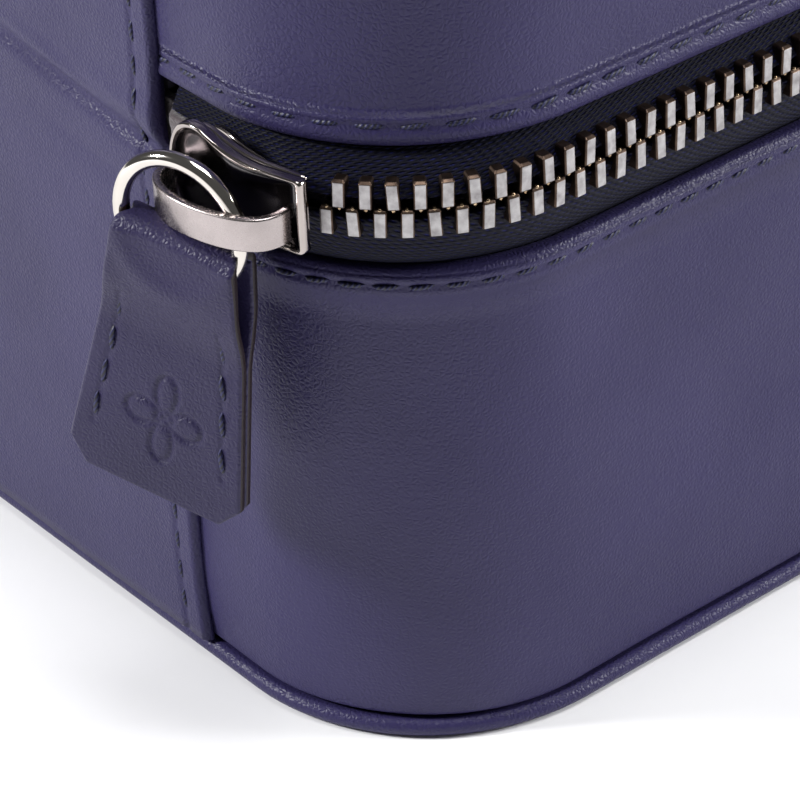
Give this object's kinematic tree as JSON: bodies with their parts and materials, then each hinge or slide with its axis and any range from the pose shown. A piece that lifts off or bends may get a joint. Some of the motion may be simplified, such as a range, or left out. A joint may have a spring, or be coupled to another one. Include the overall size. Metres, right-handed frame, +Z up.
{
  "type": "jewellery case",
  "caption": "Zipped leather jewellery case with a hinged mirror lid, a lift-out tray with ring rolls, and a ring pull with a leather tab.",
  "frame": {"origin": "centre of the underside, on the surface the case stands on", "axes": "+X to the right, +Y to the back where the lid hinges, +Z up"},
  "size_m": [0.226, 0.1698, 0.0914],
  "materials": {
    "leather": "smooth semi-gloss fine grain",
    "dark_leather": "smooth semi-gloss fine grain",
    "suede": "matte napped suede",
    "board": "matte",
    "zip_cloth": "woven, matte",
    "zip_metal": "antique silver",
    "nickel": "polished dark nickel",
    "mirror": "silvered glass"
  },
  "bodies": {
    "base": {"base_panel": "dark_leather", "base_welt": "leather", "base_shell": "leather", "base_stiffener": "board", "base_lining": "suede", "base_floor_board": "board", "base_floor_pad": "suede", "divider_long": "suede", "divider_cross_left": "suede", "divider_cross_right": "suede", "tray_ledge_left": "suede", "tray_ledge_right": "suede", "hinge_panel_lower": "leather", "hinge_lining_lower": "suede", "zip_tape_lower": "zip_cloth", "zip_teeth_lower": "zip_metal"},
    "lid": {"lid_shell": "leather", "lid_welt": "leather", "lid_panel": "leather", "lid_stiffener": "board", "lid_board": "board", "lid_lining": "suede", "lid_headliner": "suede", "mirror_frame": "dark_leather", "mirror_glass": "mirror", "hinge_panel_upper": "leather", "hinge_lining_upper": "suede", "zip_tape_upper": "zip_cloth", "zip_teeth_upper": "zip_metal"},
    "tray": {"tray_shell": "suede", "tray_floor_pad": "suede", "tray_divider_rings": "suede", "tray_divider_long": "suede", "tray_divider_cross_back": "suede", "tray_divider_cross_front": "suede", "ring_roll_1": "suede", "ring_roll_2": "suede", "ring_roll_3": "suede", "ring_roll_4": "suede", "ring_roll_5": "suede", "ring_roll_6": "suede", "ring_roll_7": "suede", "tray_ribbon_left": "zip_cloth", "tray_ribbon_right": "zip_cloth"},
    "slider": {"slider_body": "nickel", "slider_bridge": "nickel"},
    "ring": {"pull_ring": "nickel"},
    "tab": {"pull_tab": "leather"}
  },
  "joints": [
    {"name": "lid_hinge", "type": "hinge", "parent": "base", "child": "lid", "pos_m": [0, 0.0756, 0.064], "axis": [-1, 0, 0], "range_deg": [0, 100]},
    {"name": "slider_travel", "type": "hinge", "parent": "base", "child": "slider", "pos_m": [-0.09004, 0.05504, 0.0636], "axis": [0, 0, 1], "range_deg": [0, 65]},
    {"name": "ring_swing", "type": "hinge", "parent": "slider", "child": "ring", "pos_m": [-0.0971, 0.08105, 0.0612], "axis": [0, 0, 1], "range_deg": [0, 75]},
    {"name": "tab_sway", "type": "hinge", "parent": "ring", "child": "tab", "pos_m": [-0.09086, 0.0832, 0.0612], "axis": [-0.3256, 0.9455, 0], "range_deg": [-8, 12]},
    {"name": "tray_lift", "type": "slide", "parent": "base", "child": "tray", "axis": [0, 0, 1], "range_m": [0, 0.022]}
  ],
  "couplings": [
    {"joint": "slider_travel", "follows": "lid_hinge", "ratio": 0.65}
  ]
}
